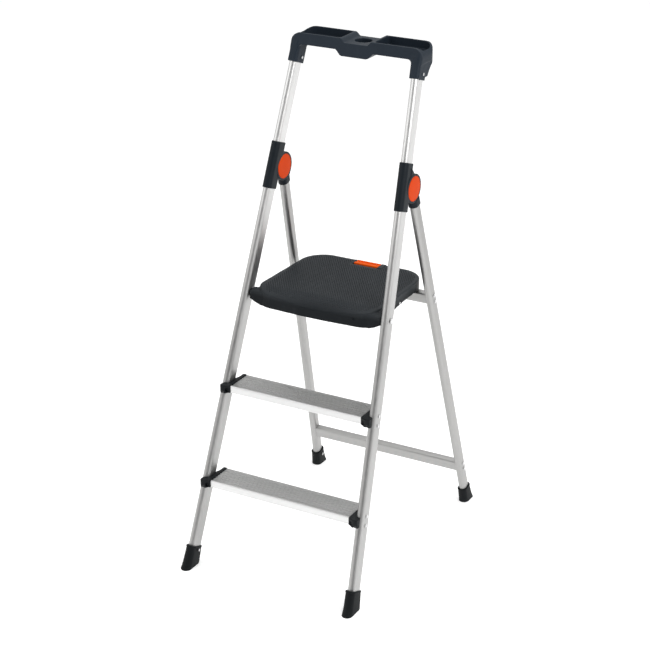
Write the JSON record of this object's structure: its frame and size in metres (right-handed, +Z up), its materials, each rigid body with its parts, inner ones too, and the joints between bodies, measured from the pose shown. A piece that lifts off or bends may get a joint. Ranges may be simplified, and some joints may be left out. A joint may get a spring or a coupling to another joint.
{
  "type": "step stool",
  "caption": "Folding aluminium step stool with ribbed treads, a folding platform with release lever, rear support frame and a moulded top handle with tool trays.",
  "frame": {"origin": "on the floor, midway between the front and rear feet and between left and right", "axes": "+X to the right as seen by someone facing the treads, -Y towards that person, +Z up"},
  "size_m": [0.4928, 0.724, 1.2885],
  "materials": {
    "anodised_tube": "satin anodised, fine draw lines along the tube",
    "tread_aluminium": "satin anodised, ribbed and serrated top",
    "rivet_steel": "zinc plated",
    "spring_steel": "bright wire",
    "orange_cap": "smooth, semi gloss",
    "orange_lever": "smooth, semi gloss",
    "foot_rubber": "matte, grooved sole",
    "platform_plastic": "matte with a moulded anti-slip hatch on top, smooth skirt",
    "black_plastic": "fine moulded texture",
    "joint_plastic": "fine moulded texture",
    "handle_plastic": "fine moulded texture"
  },
  "bodies": {
    "front_frame": {"stile_left": "anodised_tube", "stile_right": "anodised_tube", "tread_lower": "tread_aluminium", "tread_upper": "tread_aluminium", "tread_bracket_lower_left": "black_plastic", "tread_bracket_lower_right": "black_plastic", "tread_bracket_upper_left": "black_plastic", "tread_bracket_upper_right": "black_plastic", "tread_rivets_left": "rivet_steel", "joint_sleeve_left": "joint_plastic", "joint_pin_left": "rivet_steel", "joint_cap_left_outer": "orange_cap", "joint_cap_left_inner": "orange_cap", "front_foot_left": "foot_rubber", "platform_pin_left": "rivet_steel", "platform_bush_left": "black_plastic", "tread_rivets_right": "rivet_steel", "joint_sleeve_right": "joint_plastic", "joint_pin_right": "rivet_steel", "joint_cap_right_outer": "orange_cap", "joint_cap_right_inner": "orange_cap", "front_foot_right": "foot_rubber", "platform_pin_right": "rivet_steel", "platform_bush_right": "black_plastic", "top_handle": "handle_plastic", "handle_rivets": "rivet_steel", "front_foot_rivets": "rivet_steel"},
    "rear_frame": {"rear_leg_left": "anodised_tube", "leg_knuckle_left": "joint_plastic", "brace_rivets_left": "rivet_steel", "rear_foot_left": "foot_rubber", "rear_leg_right": "anodised_tube", "leg_knuckle_right": "joint_plastic", "brace_rivets_right": "rivet_steel", "rear_foot_right": "foot_rubber", "upper_brace": "anodised_tube", "lower_brace": "anodised_tube", "rear_foot_rivets": "rivet_steel"},
    "platform": {"platform_deck": "platform_plastic", "platform_hook_left": "black_plastic", "platform_hook_right": "black_plastic", "skirt_rivets": "rivet_steel", "latch_pin": "rivet_steel", "latch_spring": "spring_steel"},
    "latch": {"latch_lever": "orange_lever"}
  },
  "joints": [
    {"name": "rear_fold", "type": "hinge", "parent": "front_frame", "child": "rear_frame", "pos_m": [0, 0.0519, 0.9624], "axis": [1, 0, 0], "range_deg": [-35, 0]},
    {"name": "platform_fold", "type": "hinge", "parent": "front_frame", "child": "platform", "pos_m": [0, -0.08693, 0.6717], "axis": [1, 0, 0], "range_deg": [0, 69.3]},
    {"name": "latch_lift", "type": "hinge", "parent": "platform", "child": "latch", "pos_m": [0, 0.174, 0.676], "axis": [1, 0, 0], "range_deg": [0, 18], "stiffness_Nm_per_rad": 0.3}
  ],
  "couplings": [
    {"joint": "platform_fold", "follows": "rear_fold", "ratio": -1.98}
  ]
}
